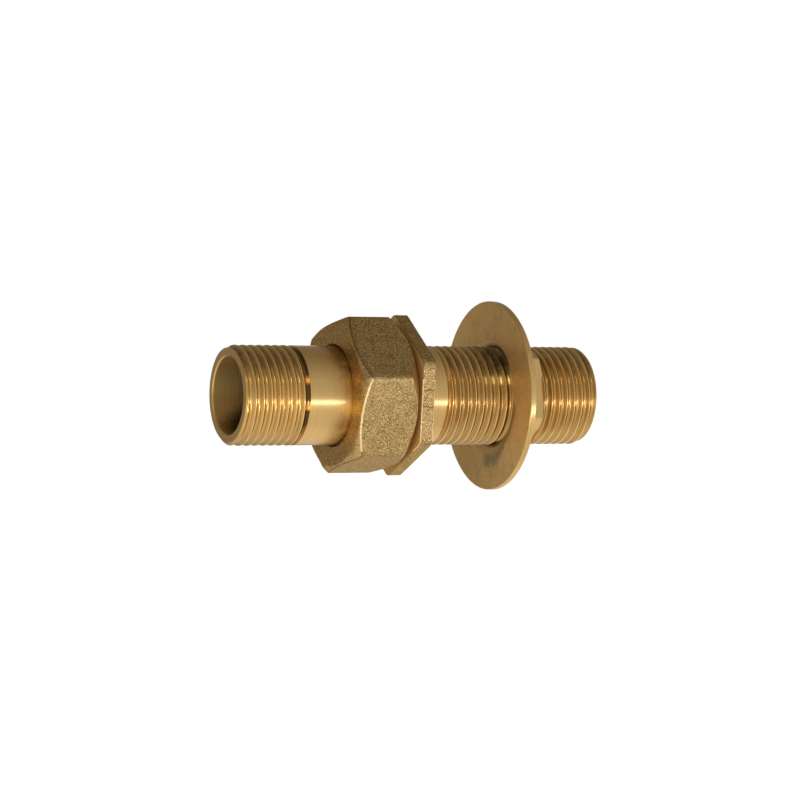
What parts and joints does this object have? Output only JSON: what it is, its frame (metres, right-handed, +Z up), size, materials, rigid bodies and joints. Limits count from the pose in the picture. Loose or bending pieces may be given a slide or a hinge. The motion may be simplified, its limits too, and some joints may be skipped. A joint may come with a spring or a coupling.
{
  "type": "tank connector",
  "caption": "Brass tank connector: threaded bulkhead body with a hexagon, a flange nut that clamps the tank wall, and a union nut holding a threaded tailpiece.",
  "frame": {"origin": "on the bore's axis, in the face of the body's hexagon that bears on the tank wall", "axes": "+X along the bore towards the threaded end inside the tank, +Z up"},
  "size_m": [0.0813, 0.0402, 0.0402],
  "materials": {
    "brass_body": "turned bright thread and neck, sandblasted forged hexagon",
    "brass_flange": "fine turned, satin",
    "brass_tail": "turned, bright",
    "brass_nut": "sandblasted forging, ends turned",
    "rubber_washer": "matte"
  },
  "bodies": {
    "connector_body": {"connector_body": "brass_body"},
    "tail": {"tailpiece": "brass_tail", "union_washer": "rubber_washer"},
    "union_nut": {"union_nut": "brass_nut"},
    "flange_nut": {"flange_nut": "brass_flange"}
  },
  "joints": [
    {"name": "union_travel", "type": "slide", "parent": "connector_body", "child": "tail", "axis": [-1, 0, 0], "range_m": [0, 0.00726]},
    {"name": "nut_turn", "type": "hinge", "parent": "tail", "child": "union_nut", "pos_m": [-0.0103, 0, 0], "axis": [-1, 0, 0], "range_deg": [0, 1440]},
    {"name": "flange_travel", "type": "slide", "parent": "connector_body", "child": "flange_nut", "axis": [1, 0, 0], "range_m": [-0.01451, 0.02177]}
  ],
  "couplings": [
    {"joint": "union_travel", "follows": "nut_turn", "m_per_rad": 0.00028875}
  ]
}
